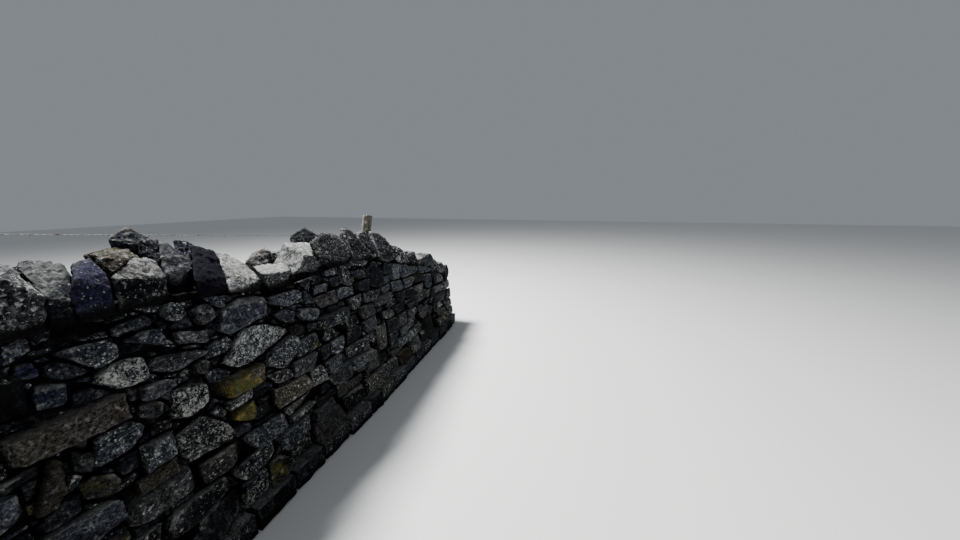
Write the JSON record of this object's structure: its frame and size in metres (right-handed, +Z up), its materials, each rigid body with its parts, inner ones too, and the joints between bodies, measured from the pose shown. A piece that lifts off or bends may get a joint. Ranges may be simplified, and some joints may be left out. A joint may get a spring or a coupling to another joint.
{
  "type": "dry stone field wall",
  "caption": "Weathered limestone dry stone wall in bays down a slope, with footings, battered faces, throughs, rough cope stones, leaning timber posts and a wire strand.",
  "frame": {"origin": "middle of the flat base, on the ground", "axes": "+X along the wall towards its low end, +Y towards the far side with the posts, +Z up"},
  "size_m": [6, 1.2083, 2.366],
  "materials": {
    "footing_stone": "rough",
    "face_stone": "rough",
    "hearting_stone": "rough",
    "through_stone": "rough",
    "cope_stone": "rough",
    "weathered_timber": "rough",
    "galvanised_wire": "dull"
  },
  "bodies": {
    "root": {"footings_1": "footing_stone", "near_face_1": "face_stone", "far_face_1": "face_stone", "hearting_1": "hearting_stone", "throughs_1": "through_stone", "copes_1": "cope_stone", "footings_2": "footing_stone", "near_face_2": "face_stone", "far_face_2": "face_stone", "hearting_2": "hearting_stone", "throughs_2": "through_stone", "copes_2": "cope_stone", "footings_3": "footing_stone", "near_face_3": "face_stone", "far_face_3": "face_stone", "hearting_3": "hearting_stone", "throughs_3": "through_stone", "copes_3": "cope_stone", "footings_4": "footing_stone", "near_face_4": "face_stone", "far_face_4": "face_stone", "hearting_4": "hearting_stone", "throughs_4": "through_stone", "copes_4": "cope_stone", "footings_5": "footing_stone", "near_face_5": "face_stone", "far_face_5": "face_stone", "hearting_5": "hearting_stone", "throughs_5": "through_stone", "copes_5": "cope_stone", "footings_6": "footing_stone", "near_face_6": "face_stone", "far_face_6": "face_stone", "hearting_6": "hearting_stone", "throughs_6": "through_stone", "copes_6": "cope_stone", "high_end_head": "face_stone", "low_end_head": "face_stone", "fence_post_1": "weathered_timber", "fence_post_2": "weathered_timber", "wire_strand": "galvanised_wire"}
  },
  "joints": []
}
